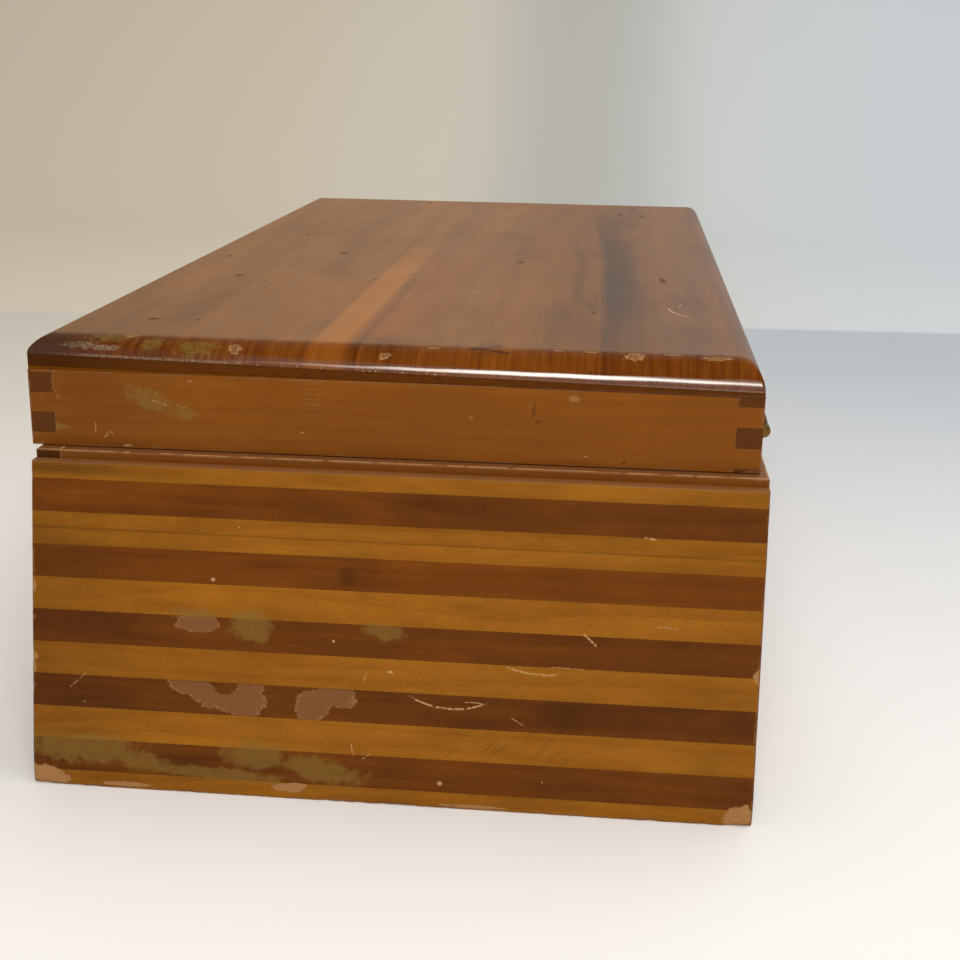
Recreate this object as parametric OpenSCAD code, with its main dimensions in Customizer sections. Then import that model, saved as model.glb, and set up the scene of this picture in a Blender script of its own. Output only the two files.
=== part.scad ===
// Finger-jointed wooden chest with an overlaid lid and splayed striped end panels.
// X runs across the short ends, Y along the hinge side and Z is up.
// The origin is on the table under the middle of the case.

/* [Case] */
// Outside width across the short ends
case_w = 228.6; // [180:0.1:280]
// Outside length along the hinge side
case_l = 453; // [360:0.1:520]
// Height of the case from the table to its rim
case_h = 105.6; // [90:0.1:130]
// Thickness of the case and lid boards
board_t = 8.1; // [7:0.1:11]
// Thickness of the bottom board
bottom_t = 6.4; // [4:0.1:10]

/* [Finger joints] */
// Width of one finger
finger_w = 6.48; // [5:0.01:9]
// First side finger of the lid's latch corners, above the lid's lower edge
lid_finger_left = 4.2; // [0:0.1:6]
// First side finger of the lid's hinge corners, above the lid's lower edge
lid_finger_right = 7.7; // [0:0.1:9]
// Top side finger of the case's latch corners, below the rim
case_finger_left = 6.4; // [1:0.1:6.4]
// Top side finger of the case's hinge corners, below the rim
case_finger_right = 11.6; // [7:0.1:12]

/* [Splayed end panels] */
// Thickness of a panel
panel_t = 4; // [3:0.1:12]
// Lean of a panel from upright, in degrees
panel_lean = 9.85; // [7:0.05:13]
// Height of the rim left showing above a panel
rim_reveal = 2.75; // [1.5:0.05:8]
// Strips in a panel, counting the half strips at its top and bottom
strip_count = 11; // [5:2:13]

/* [Lid] */
// Outside length of the lid, which stops short of both ends of the case
lid_l = 444.5; // [360:0.1:453]
// Height of the lid's frame of boards
lid_rail_h = 24.3; // [20:0.1:40]
// Gap between the rim and the lid
parting_gap = 0.3; // [0.2:0.1:1]
// Thickness of the top board
top_t = 9.4; // [7:0.1:14]
// Radius of the top board's upper edges
top_round = 6.2; // [3:0.1:6.8]
// How far the lid sits towards the latch side of the case
lid_shift = 2.6; // [0:0.1:2.6]

/* [Hinges] */
// Length of a hinge
hinge_l = 38; // [30:1:50]
// Distance from an end of the case to the hinge nearest to it
hinge_from_end = 57; // [30:1:90]
// Radius of the barrel
barrel_r = 2.3; // [2.2:0.05:2.4]
// Radius of the hinge pin
hinge_pin_r = 1.1; // [0.9:0.05:1.2]
// Thickness of a leaf
leaf_t = 1.2; // [1:0.1:1.4]

/* [Latch] */
// Distance from the hook's pivot to its notch
hook_reach = 25; // [23:0.5:28]
// Height of the hook's pivot above the table
hook_pivot_z = 88; // [85:0.5:89]
// Thickness of the hook
hook_t = 1.2; // [1:0.1:1.3]
// Radius of the shank that the hook catches
peg_r = 1.2; // [1:0.05:1.3]

/* [Hidden] */
half_w = case_w / 2;
half_l = case_l / 2;
half_lid_l = lid_l / 2;
overcut = 2;

// Lid heights and its two long faces
lid_z = case_h + parting_gap;
top_z = lid_z + lid_rail_h;
lid_left = -half_w - lid_shift;
lid_right = half_w - lid_shift;

// Splayed panel: heights run down the slope from its top outer edge
panel_top_z = case_h - rim_reveal;
panel_reach = panel_t / cos(panel_lean);
slope_l = panel_top_z / cos(panel_lean);
strip_w = slope_l / (strip_count - 1);
panel_bevel = panel_t * tan(panel_lean);

// Hinge line, outside the case wall
hinge_x = half_w + 3.1;
hinge_z = case_h + parting_gap / 2;
knuckle_gap = 0.3;
knuckle_l = (hinge_l - 2 * knuckle_gap) / 3;
pin_running = 0.05;
pin_head_r = 1.7;
pin_head_h = 0.5;
hinge_screw_r = 1;
hinge_screw_head_r = 2.1;
hinge_screw_head_h = 1;
hinge_screw_depth = 6;
hinge_screw_spacing = 22;
case_leaf_top = 2.6;
case_leaf_bottom = 14;
case_screw_drop = 8.6;
crank_foot = barrel_r + 0.35;
crank_bend = 4.4;
crank_step = 7.3;
lid_leaf_top = 17;
lid_screw_rise = 12.4;

// Latch: the hook swings in a plane just outside the lid's face
hook_x = lid_left - 0.7;
hook_w = 3.6;
hook_hub_r = 3.6;
hook_end_r = 4;
hook_running = 0.05;
notch_play = 0.45;
pivot_r = 1.25;
pivot_head_r = 3;
pivot_head_h = 1.4;
peg_head_r = 2.6;
peg_head_h = 1.2;
peg_head_gap = 0.3;
latch_screw_depth = 6.5;

fine = 64;

light_wood = "#B9752C";
dark_wood = "#6E3D1C";
amber_wood = "#A8672B";
lid_wood = "#9C5B28";
inner_wood = "#C2925A";
aged_brass = "#8A6B35";

function strip_name(end, i) = str(end, "_strip_", i + 1);
function strip_is_light(i) = i % 2 == 0;

// ---- Finger-jointed boards ----

// Slots of one finger's height, repeating up a corner from the height first_z
module finger_slots(first_z, z_lo, z_hi, size_x, size_y) {
  pitch = 2 * finger_w;
  low_k = floor((z_lo - first_z) / pitch);
  high_k = ceil((z_hi - first_z) / pitch);
  for (k = [low_k : high_k])
    translate([-size_x / 2, -size_y / 2, first_z + k * pitch])
      cube([size_x, size_y, finger_w]);
}

// Long board whose outer face is at outer_x, with its wall towards the middle
module side_board(outer_x, inward, length, z_lo, z_hi, first_z) {
  middle_x = outer_x + inward * board_t / 2;
  difference() {
    translate([middle_x - board_t / 2, -length / 2, z_lo])
      cube([board_t, length, z_hi - z_lo]);
    for (end = [-1, 1])
      translate([middle_x, end * (length / 2 - board_t / 2 + overcut / 2), 0])
        finger_slots(first_z + finger_w, z_lo, z_hi, board_t + overcut, board_t + overcut);
  }
}

// Short board between the faces left_x and right_x, its outer face outer_y from the middle
module end_board(end, outer_y, left_x, right_x, z_lo, z_hi, first_left_z, first_right_z) {
  middle_y = end * (outer_y - board_t / 2);
  slot = board_t + overcut;
  difference() {
    translate([left_x, middle_y - board_t / 2, z_lo])
      cube([right_x - left_x, board_t, z_hi - z_lo]);
    translate([left_x + board_t / 2 - overcut / 2, middle_y, 0])
      finger_slots(first_left_z, z_lo, z_hi, slot, slot);
    translate([right_x - board_t / 2 + overcut / 2, middle_y, 0])
      finger_slots(first_right_z, z_lo, z_hi, slot, slot);
  }
}

module case_side_left() {
  color(amber_wood) side_board(-half_w, 1, case_l, 0, case_h, case_h - case_finger_left);
}

module case_side_right() {
  color(amber_wood) side_board(half_w, -1, case_l, 0, case_h, case_h - case_finger_right);
}

module case_end(end) {
  color(amber_wood)
    end_board(
      end, half_l, -half_w, half_w, 0, case_h,
      case_h - case_finger_left, case_h - case_finger_right
    );
}

module case_bottom() {
  color(inner_wood)
    translate([board_t - half_w, board_t - half_l, 0])
      cube([case_w - 2 * board_t, case_l - 2 * board_t, bottom_t]);
}

module lid_side_left() {
  color(lid_wood) side_board(lid_left, 1, lid_l, lid_z, top_z, lid_z + lid_finger_left);
}

module lid_side_right() {
  color(lid_wood) side_board(lid_right, -1, lid_l, lid_z, top_z, lid_z + lid_finger_right);
}

module lid_end(end) {
  color(lid_wood)
    end_board(
      end, half_lid_l, lid_left, lid_right, lid_z, top_z,
      lid_z + lid_finger_left, lid_z + lid_finger_right
    );
}

// A section of the top board, with its two upper corners rounded
module top_section(width) {
  square([width, top_t - top_round]);
  translate([top_round, 0])
    square([width - 2 * top_round, top_t]);
  for (x = [top_round, width - top_round])
    translate([x, top_t - top_round])
      circle(r = top_round, $fn = fine);
}

// Top board laid over the lid's frame, its rounded edges meeting in mitres at the corners
module lid_top() {
  color(lid_wood)
    intersection() {
      translate([lid_left, half_lid_l, top_z])
        rotate([90, 0, 0])
          linear_extrude(lid_l)
            top_section(case_w);
      translate([lid_left, -half_lid_l, top_z])
        rotate([90, 0, 90])
          linear_extrude(case_w)
            top_section(lid_l);
      translate([lid_left, -half_lid_l, top_z])
        cube([case_w, lid_l, top_t]);
    }
}

// ---- Splayed end panels ----

// Points of the near panel's section, in Y and Z, at a distance down its slope
function panel_outer(s) = [
  -half_l - panel_reach - s * sin(panel_lean),
  panel_top_z - s * cos(panel_lean)
];
function panel_inner(s) = panel_outer(s) + panel_t * [cos(panel_lean), -sin(panel_lean)];

// Distance down the slope to the top of strip i, where the first strip is half as wide
function strip_top(i) = i == 0 ? 0 : min((i - 0.5) * strip_w, slope_l);

// Extrudes a section in Y and Z across the chest, mirrored for the far end
module across(end) {
  mirror([0, end > 0 ? 1 : 0, 0])
    translate([half_w, 0, 0])
      rotate([90, 0, -90])
        linear_extrude(height = case_w)
          mirror([1, 0, 0])
            children();
}

module strip(end, i) {
  s0 = strip_top(i);
  s1 = strip_top(i + 1);
  first_bevel = i == 0 ? panel_bevel : 0;
  last_bevel = i == strip_count - 1 ? panel_bevel : 0;
  color(strip_is_light(i) ? light_wood : dark_wood)
    across(end)
      polygon([
        panel_outer(s0),
        panel_outer(s1),
        panel_inner(s1 - last_bevel),
        panel_inner(s0 - first_bevel)
      ]);
}

// Tapered board that holds a panel off the case at its lean
module wedge(end) {
  color(inner_wood)
    across(end)
      polygon([
        [-half_l, panel_top_z],
        [-half_l - panel_top_z * tan(panel_lean), 0],
        [-half_l, 0]
      ]);
}

// ---- Hinges ----

// Extrudes a section in X and Z along the hinge line, from y_lo to y_hi
module along(y_lo, y_hi) {
  translate([0, y_hi, 0])
    rotate([90, 0, 0])
      linear_extrude(height = y_hi - y_lo)
        children();
}

// Round-head slotted screw, head outwards along +Z, with its seat at Z = 0
module screw(shank_r, depth, head_r, head_h) {
  slot_w = head_r * 0.28;
  dome_r = (head_r * head_r + head_h * head_h) / (2 * head_h);
  translate([0, 0, -depth])
    cylinder(r = shank_r, h = depth, $fn = fine);
  difference() {
    intersection() {
      translate([0, 0, head_h - dome_r])
        sphere(r = dome_r, $fn = fine);
      cylinder(r = head_r + 1, h = head_h + 1, $fn = fine);
    }
    translate([-head_r - 1, -slot_w / 2, head_h * 0.5])
      cube([2 * head_r + 2, slot_w, head_h]);
  }
}

function hinge_y(end) = end * (half_l - hinge_from_end - hinge_l / 2);
function knuckle_lo(k) = -hinge_l / 2 + k * (knuckle_l + knuckle_gap);

// Bodies drawn around Y = 0 are moved to the hinge at one end
module at_hinge(end) {
  translate([0, hinge_y(end), 0])
    children();
}

// One knuckle of the barrel, k = 0 and 2 on the case and 1 on the lid
module knuckle(k) {
  along(knuckle_lo(k), knuckle_lo(k) + knuckle_l)
    translate([hinge_x, hinge_z])
      circle(r = barrel_r, $fn = fine);
}

module barrel_bore(r) {
  along(-hinge_l / 2 - overcut, hinge_l / 2 + overcut)
    translate([hinge_x, hinge_z])
      circle(r = r, $fn = fine);
}

// Clearance holes for a leaf's two screws
module leaf_holes(z) {
  for (side = [-1, 1])
    translate([lid_right - overcut, side * hinge_screw_spacing / 2, z])
      rotate([0, 90, 0])
        cylinder(r = hinge_screw_r + pin_running, h = 3 * overcut + lid_shift, $fn = fine);
}

module hinge_case_leaf(end) {
  color(aged_brass)
    at_hinge(end)
      difference() {
        union() {
          translate([half_w, -hinge_l / 2, hinge_z - case_leaf_bottom])
            cube([leaf_t, hinge_l, case_leaf_bottom - case_leaf_top]);
          for (k = [0, 2]) {
            knuckle(k);
            along(knuckle_lo(k), knuckle_lo(k) + knuckle_l)
              polygon([
                [half_w, hinge_z - case_leaf_top - 1],
                [half_w + leaf_t, hinge_z - case_leaf_top - 1],
                [hinge_x, hinge_z - 1.6],
                [hinge_x, hinge_z],
                [half_w, hinge_z - 1]
              ]);
          }
        }
        barrel_bore(hinge_pin_r);
        leaf_holes(hinge_z - case_screw_drop);
      }
}

// The lid's leaf is cranked, because the lid's face is further in than the case's
module hinge_lid_leaf(end) {
  outer_x = hinge_x + 0.7;
  color(aged_brass)
    at_hinge(end)
      difference() {
        union() {
          knuckle(1);
          along(knuckle_lo(1), knuckle_lo(1) + knuckle_l)
            translate([outer_x - leaf_t, hinge_z])
              square([leaf_t, crank_foot + 0.5]);
          along(-hinge_l / 2, hinge_l / 2)
            polygon([
              [outer_x - leaf_t, hinge_z + crank_foot],
              [outer_x, hinge_z + crank_foot],
              [outer_x, hinge_z + crank_bend],
              [outer_x - 0.5, hinge_z + crank_bend + 1.3],
              [lid_right + leaf_t, hinge_z + crank_step],
              [lid_right + leaf_t, hinge_z + lid_leaf_top],
              [lid_right, hinge_z + lid_leaf_top],
              [lid_right, hinge_z + crank_step - 1.2],
              [outer_x - leaf_t, hinge_z + crank_bend]
            ]);
        }
        barrel_bore(hinge_pin_r + pin_running);
        leaf_holes(hinge_z + lid_screw_rise);
      }
}

module hinge_pin(end) {
  color(aged_brass)
    at_hinge(end) {
      along(-hinge_l / 2, hinge_l / 2)
        translate([hinge_x, hinge_z])
          circle(r = hinge_pin_r, $fn = fine);
      for (side = [-1, 1])
        translate([hinge_x, side * (hinge_l + pin_head_h) / 2, hinge_z])
          rotate([90, 0, 0])
            cylinder(r = pin_head_r, h = pin_head_h, center = true, $fn = fine);
    }
}

module hinge_screws(x, z) {
  color(aged_brass)
    for (end = [-1, 1], side = [-1, 1])
      at_hinge(end)
        translate([x + leaf_t, side * hinge_screw_spacing / 2, z])
          rotate([0, 90, 0])
            rotate([0, 0, 35 + 70 * side])
              screw(hinge_screw_r, hinge_screw_depth, hinge_screw_head_r, hinge_screw_head_h);
}

module hinge_case_screws() {
  hinge_screws(half_w, hinge_z - case_screw_drop);
}

module hinge_lid_screws() {
  hinge_screws(lid_right, hinge_z + lid_screw_rise);
}

// ---- Latch ----

// Turns +Z to point out of the latch side
module facing_left(x, z) {
  translate([x, 0, z])
    rotate([0, -90, 0])
      children();
}

// Washer that carries the hook clear of the overhanging lid
module latch_spacer() {
  color(aged_brass)
    facing_left(-half_w, hook_pivot_z)
      difference() {
        cylinder(r = hook_hub_r, h = -half_w - hook_x - hook_running, $fn = fine);
        translate([0, 0, -overcut])
          cylinder(r = pivot_r, h = lid_shift + 3 * overcut, $fn = fine);
      }
}

// Flat hook, hanging from its pivot with its notch open towards +Y
module latch_hook() {
  notch_r = peg_r + notch_play;
  color(aged_brass)
    facing_left(hook_x, hook_pivot_z)
      difference() {
        union() {
          cylinder(r = hook_hub_r, h = hook_t, $fn = fine);
          translate([-hook_reach, 0, 0])
            cylinder(r = hook_end_r, h = hook_t, $fn = fine);
          translate([-hook_reach, -hook_w / 2, 0])
            cube([hook_reach, hook_w, hook_t]);
        }
        translate([0, 0, -overcut])
          cylinder(r = pivot_r + hook_running, h = 3 * overcut, $fn = fine);
        translate([-hook_reach, 0, -overcut])
          cylinder(r = notch_r, h = 3 * overcut, $fn = fine);
        translate([-hook_reach - notch_r, 0, -overcut])
          cube([2 * notch_r, hook_end_r + overcut, 3 * overcut]);
      }
}

module latch_pivot_screw() {
  seat_x = hook_x - hook_t - hook_running;
  color(aged_brass)
    facing_left(seat_x, hook_pivot_z)
      screw(pivot_r, -half_w - seat_x + latch_screw_depth, pivot_head_r, pivot_head_h);
}

module latch_peg() {
  seat_x = hook_x - hook_t - peg_head_gap;
  color(aged_brass)
    facing_left(seat_x, hook_pivot_z + hook_reach)
      screw(peg_r, lid_left - seat_x + latch_screw_depth, peg_head_r, peg_head_h);
}

case_side_left();
case_side_right();
case_end(-1);  // case_end_near
case_end(1);  // case_end_far
case_bottom();
wedge(-1);  // wedge_near
wedge(1);  // wedge_far
for (i = [0 : strip_count - 1]) {
  strip(-1, i);
  strip(1, i);
}
lid_top();
lid_side_left();
lid_side_right();
lid_end(-1);  // lid_end_near
lid_end(1);  // lid_end_far
hinge_case_leaf(-1);  // hinge_case_leaf_near
hinge_case_leaf(1);  // hinge_case_leaf_far
hinge_lid_leaf(-1);  // hinge_lid_leaf_near
hinge_lid_leaf(1);  // hinge_lid_leaf_far
hinge_pin(-1);  // hinge_pin_near
hinge_pin(1);  // hinge_pin_far
hinge_case_screws();
hinge_lid_screws();
latch_spacer();
latch_hook();
latch_pivot_screw();
latch_peg();
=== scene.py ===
"""Looks of a finger-jointed wooden chest with an overlaid lid and splayed striped end panels."""
import math
import random

import bpy
import numpy as np
from mathutils import Matrix, Vector, noise


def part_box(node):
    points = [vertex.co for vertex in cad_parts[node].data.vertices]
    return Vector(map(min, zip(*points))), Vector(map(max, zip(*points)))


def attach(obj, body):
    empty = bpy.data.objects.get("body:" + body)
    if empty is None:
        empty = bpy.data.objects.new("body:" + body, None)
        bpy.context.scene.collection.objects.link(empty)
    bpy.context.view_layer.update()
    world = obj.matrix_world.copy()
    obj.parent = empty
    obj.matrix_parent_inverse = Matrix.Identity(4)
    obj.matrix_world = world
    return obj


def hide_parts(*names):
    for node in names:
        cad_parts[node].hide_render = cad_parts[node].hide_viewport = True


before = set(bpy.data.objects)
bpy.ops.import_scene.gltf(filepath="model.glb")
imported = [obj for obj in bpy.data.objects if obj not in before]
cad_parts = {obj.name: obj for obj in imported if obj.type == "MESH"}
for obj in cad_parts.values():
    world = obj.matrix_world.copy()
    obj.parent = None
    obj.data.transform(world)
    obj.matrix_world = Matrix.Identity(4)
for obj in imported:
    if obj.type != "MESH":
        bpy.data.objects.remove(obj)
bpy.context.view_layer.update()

MM = 0.001
STRIPS = 11


# ---------------------------------------------------------------- places, read from the frame

def node_box(name):
    """A node's lowest and highest corner, in millimetres."""
    low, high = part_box(name)
    return low / MM, high / MM


class Panel:
    """The splayed panel at one end: where a distance along its slope and into its wood lies."""

    def __init__(self, end):
        self.end = end
        self.side = -1 if end == "near" else 1
        boxes = [node_box(self.strip(i)) for i in range(STRIPS)]
        # Two strips in the middle give the lean, because the outermost ones are cut level.
        low, high = boxes[STRIPS // 2 - 1]
        next_low, next_high = boxes[STRIPS // 2]
        rise = high.z - next_high.z
        run = abs(next_low.y - low.y) if self.side < 0 else abs(next_high.y - high.y)
        self.lean = math.atan2(run, rise)
        self.left, self.right = low.x, high.x
        self.top_z = boxes[0][1].z
        self.foot_y = boxes[-1][0].y if self.side < 0 else boxes[-1][1].y
        self.top_y = self.foot_y - self.side * self.top_z * math.tan(self.lean)
        self.thick = (next_high.z - low.z) / math.sin(self.lean)
        self.slope = self.top_z / math.cos(self.lean)
        tops = [(self.top_z - high.z) / math.cos(self.lean) for low, high in boxes]
        self.cuts = tops + [self.slope]

    def strip(self, i):
        return f"{self.end}_strip_{i + 1}"

    def point(self, x, down, inward):
        """The place x across, down the slope and inward from the outer face, in millimetres."""
        sin, cos = math.sin(self.lean), math.cos(self.lean)
        y = self.top_y + self.side * (down * sin - inward * cos)
        return Vector((x, y, self.top_z - down * cos - inward * sin))


near_panel = Panel("near")
far_panel = Panel("far")
top_low, top_high = node_box("lid_top")
width = top_high.x - top_low.x

# The top board was shaped by hand: how deep its rounding goes on the left and on the right,
# and how far the joint under it rises above the rails on the left and sinks below them on the right.
# The rounding's section is a quarter of a superellipse, a little flatter than a circle's.
ROUND_LEFT, ROUND_RIGHT = 4.4, 8.6
ROUND_POWER = 1.85
# How far in from each edge the rounding reaches. Near the front it narrows towards the right.
REACH_LEFT, REACH_RIGHT, REACH_NEAR, REACH_FAR = 4.2, 7.0, 12.5, 5.5
JOINT_LEFT, JOINT_RIGHT = 1.3, -0.9


# ---------------------------------------------------------------- numbers and masks made of nodes

class Number:
    """A number that shader nodes work out, with arithmetic written as usual."""

    def __init__(self, graph, socket):
        self.graph = graph
        self.socket = socket

    def __add__(self, other):
        return self.graph.math("ADD", self, other)

    def __sub__(self, other):
        return self.graph.math("SUBTRACT", self, other)

    def __rsub__(self, other):
        return self.graph.math("SUBTRACT", other, self)

    def __mul__(self, other):
        return self.graph.math("MULTIPLY", self, other)

    def __truediv__(self, other):
        return self.graph.math("DIVIDE", self, other)

    __radd__ = __add__
    __rmul__ = __mul__

    def abs(self):
        return self.graph.math("ABSOLUTE", self)

    def low(self, other):
        return self.graph.math("MINIMUM", self, other)

    def high(self, other):
        return self.graph.math("MAXIMUM", self, other)

    def fract(self):
        return self.graph.math("FRACT", self)

    def root(self):
        return self.graph.math("SQRT", self)

    def rise(self, start, end):
        """0 below start, 1 above end and smooth between them."""
        return self.graph.smooth(self, start, end)

    def fall(self, start, end):
        """1 below start, 0 above end and smooth between them."""
        return 1 - self.graph.smooth(self, start, end)


SOCKETS = {
    "metallic": "Metallic",
    "specular": "Specular IOR Level",
    "coat": "Coat Weight",
    "coat_rough": "Coat Roughness",
    "coat_ior": "Coat IOR",
}


class Graph:
    """One material's nodes. x, y and z are the place in the row frame at rest, in millimetres."""

    def __init__(self, name):
        self.material = bpy.data.materials.new(name)
        self.material.use_nodes = True
        self.tree = self.material.node_tree
        self.tree.nodes.clear()
        output = self.node("ShaderNodeOutputMaterial")
        self.shader = self.node("ShaderNodeBsdfPrincipled")
        self.link(self.shader.outputs["BSDF"], output.inputs["Surface"])
        coords = self.node("ShaderNodeTexCoord")
        scaled = self.node("ShaderNodeVectorMath", operation="SCALE")
        self.link(coords.outputs["Object"], scaled.inputs[0])
        scaled.inputs["Scale"].default_value = 1 / MM
        self.x, self.y, self.z = self.split(scaled.outputs["Vector"])
        self.nx, self.ny, self.nz = self.split(coords.outputs["Normal"])

    def node(self, kind, **settings):
        made = self.tree.nodes.new(kind)
        for key, value in settings.items():
            setattr(made, key, value)
        return made

    def link(self, source, target):
        self.tree.links.new(source, target)

    def feed(self, value, target):
        """Links a number or socket to an input, or sets a plain value on it."""
        if isinstance(value, Number):
            self.link(value.socket, target)
        elif isinstance(value, bpy.types.NodeSocket):
            self.link(value, target)
        else:
            target.default_value = value

    def math(self, operation, first, second=None):
        made = self.node("ShaderNodeMath", operation=operation)
        self.feed(first, made.inputs[0])
        if second is not None:
            self.feed(second, made.inputs[1])
        return Number(self, made.outputs[0])

    def split(self, vector):
        made = self.node("ShaderNodeSeparateXYZ")
        self.link(vector, made.inputs[0])
        return [Number(self, made.outputs[i]) for i in range(3)]

    def vector(self, x, y, z):
        made = self.node("ShaderNodeCombineXYZ")
        for i, value in enumerate((x, y, z)):
            self.feed(value, made.inputs[i])
        return made.outputs[0]

    def size(self, vector):
        made = self.node("ShaderNodeVectorMath", operation="LENGTH")
        self.link(vector, made.inputs[0])
        return Number(self, made.outputs["Value"])

    def smooth(self, value, start, end):
        made = self.node("ShaderNodeMapRange", interpolation_type="SMOOTHSTEP")
        self.feed(value, made.inputs["Value"])
        self.feed(start, made.inputs["From Min"])
        self.feed(end, made.inputs["From Max"])
        return Number(self, made.outputs["Result"])

    def noise(self, vector, detail=2.0, rough=0.5):
        """Cloudy noise about 0.5, with features about one unit of the vector wide."""
        made = self.node("ShaderNodeTexNoise")
        self.link(vector, made.inputs["Vector"])
        made.inputs["Scale"].default_value = 1.0
        made.inputs["Detail"].default_value = detail
        made.inputs["Roughness"].default_value = rough
        return Number(self, made.outputs[0])

    def cells(self, vector):
        """Distance to the nearest of scattered points, about one unit apart."""
        made = self.node("ShaderNodeTexVoronoi")
        self.link(vector, made.inputs["Vector"])
        made.inputs["Scale"].default_value = 1.0
        return Number(self, made.outputs["Distance"])

    def mix(self, amount, first, second):
        """Colour first where amount is 0 and second where it is 1."""
        made = self.node("ShaderNodeMix", data_type="RGBA", clamp_factor=True)
        self.feed(amount, made.inputs[0])
        self.feed(first, made.inputs[6])
        self.feed(second, made.inputs[7])
        return made.outputs[2]

    def shade(self, colour, factor):
        """A colour made brighter or darker by a number."""
        made = self.node("ShaderNodeVectorMath", operation="SCALE")
        self.link(colour, made.inputs[0])
        self.feed(factor, made.inputs["Scale"])
        return made.outputs["Vector"]

    def finish(self, colour, roughness, height=None, depth=0.05, **sockets):
        """Sets the shader. height is in millimetres of relief for depth 1."""
        self.feed(colour, self.shader.inputs["Base Color"])
        self.feed(roughness, self.shader.inputs["Roughness"])
        if height is not None:
            bump = self.node("ShaderNodeBump")
            bump.inputs["Strength"].default_value = 1.0
            bump.inputs["Distance"].default_value = depth * MM
            self.feed(height, bump.inputs["Height"])
            self.link(bump.outputs["Normal"], self.shader.inputs["Normal"])
        for name, value in sockets.items():
            self.feed(value, self.shader.inputs[SOCKETS[name]])
        return self.material


def srgb(code):
    """A linear colour with alpha from a hex code."""
    parts = [int(code[i:i + 2], 16) / 255 for i in (1, 3, 5)]
    linear = [c / 12.92 if c <= 0.04045 else ((c + 0.055) / 1.055) ** 2.4 for c in parts]
    return (*linear, 1.0)


# ---------------------------------------------------------------- wood

def stretched(g, along, across, depth, long, wide, seed):
    """A vector for noise drawn out along the grain, and moved by a seed."""
    return g.vector(along / long + seed * 7.31, across / wide - seed * 3.17, depth / wide + seed * 1.93)


def wood_tone(g, along, across, depth, seed, ring, rings, streaks, clouds, fibre):
    """How dark the wood is, about 0.5, and the relief of its fibres.

    ring is the growth rings' spacing, and the last four say how strongly each kind of figure shows.
    """
    wobble = g.noise(stretched(g, along, across, depth, 150, 26, seed), 2.0) - 0.5
    away = across + 31
    down = depth + 47
    radius = (away * away + down * down).root() + wobble * 16
    late = (radius / ring + along / 700).fract()
    late = late.rise(0.2, 0.9) * late.fall(0.93, 1.0)
    streak = g.noise(stretched(g, along, across, depth, 170, 4.5, seed + 1), 3.0, 0.6)
    cloud = g.noise(stretched(g, along, across, depth, 34, 14, seed + 2), 3.0, 0.55)
    fine = g.noise(stretched(g, along, across, depth, 8, 0.4, seed + 3), 3.0, 0.7)
    tone = (
        0.5
        + (late - 0.35) * rings
        + (streak - 0.5) * (streaks * 2)
        + (cloud - 0.5) * (clouds * 2)
        + (fine - 0.5) * (fibre * 2)
    )
    return tone, fine


def pores(g, along, across, depth, seed, share=0.68):
    """Short dark pores along the grain, as a mask."""
    field = g.noise(stretched(g, along, across, depth, 4.0, 0.3, seed + 5), 1.0)
    return field.rise(share, share + 0.06)


def dots(g, u, v, spacing, size, seed):
    """Sparse round specks of one size, as a mask."""
    field = g.cells(g.vector(u / spacing + seed, v / spacing, seed * 1.7))
    return field.fall(size / spacing * 0.4, size / spacing * 0.6)


class Sheet:
    """A flat sheet of places (u, v) on which marks are drawn, with noise that frays their outlines."""

    def __init__(self, g, u, v, fray=4.5):
        self.g = g
        self.place = g.vector(u, v, 0.0)
        self.fray = g.noise(g.vector(u / fray, v / fray, 0.0), 4.0, 0.68) - 0.5

    def framed(self, at, size, turn=0.0):
        """The place measured from a mark's centre along its own axes, in units of its half size."""
        made = self.g.node("ShaderNodeMapping", vector_type="TEXTURE")
        self.g.link(self.place, made.inputs["Vector"])
        made.inputs["Location"].default_value = (at[0], at[1], 0)
        made.inputs["Rotation"].default_value = (0, 0, math.radians(turn))
        made.inputs["Scale"].default_value = (size[0] / 2, size[1] / 2, 1)
        return made.outputs["Vector"]

    def distance(self, marks, ragged):
        """Distance to a set of marks (u, v, wide, high, turn): 1 at their frayed outlines."""
        nearest = None
        for mark in marks:
            one = self.g.size(self.framed(mark[:2], mark[2:4], mark[4]))
            nearest = one if nearest is None else nearest.low(one)
        return nearest + self.fray * ragged

    def spots(self, marks):
        """The sum of soft-edged spots, each (u, v, wide, high, strength)."""
        total = 0
        for mark in marks:
            away = self.g.size(self.framed(mark[:2], mark[2:4]))
            total = away.fall(0.0, 1.1) * mark[4] + total
        return total

    def patches(self, marks, ragged, soft):
        """Marks with frayed outlines, as a mask. soft is the share of their size that fades out."""
        return self.distance(marks, ragged).fall(1 - soft, 1)

    def scratches(self, marks):
        """Thin scratches, as a mask. Each is (u, v, long, wide, turn, bend): bend bows its ends."""
        nearest = None
        for mark in marks:
            along, off, _ = self.g.split(self.framed(mark[:2], mark[2:4], mark[4]))
            if mark[5]:
                off = off - along * along * (mark[5] * 2 / mark[3])
            one = (off + self.fray * 1.5).abs().high(along.abs())
            nearest = one if nearest is None else nearest.low(one)
        return nearest.fall(0.65, 1.0)


def middle(first, second, third):
    """The middle of three numbers: on a box's face, the distance to its nearest edge."""
    return first.low(second).high(first.high(second).low(third))


def edge_gap(g, low, high):
    """Distance from a point on a box's face to the box's nearest edge."""
    gaps = [(value - lo).low(hi - value).high(0) for value, lo, hi in zip((g.x, g.y, g.z), low, high)]
    return middle(*gaps)


def worn(g, gap, depth, seed, share):
    """Where an edge has lost its varnish: a broken band beside it, as a mask."""
    place = g.vector(g.x / 5 + seed, g.y / 5, g.z / 5)
    field = g.noise(place, 4.0, 0.72)
    return (gap / depth - (field - share) * 7).fall(0.0, 1.0) * gap.fall(depth * 2.5, depth * 4)


# ---------------------------------------------------------------- meshes

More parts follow.
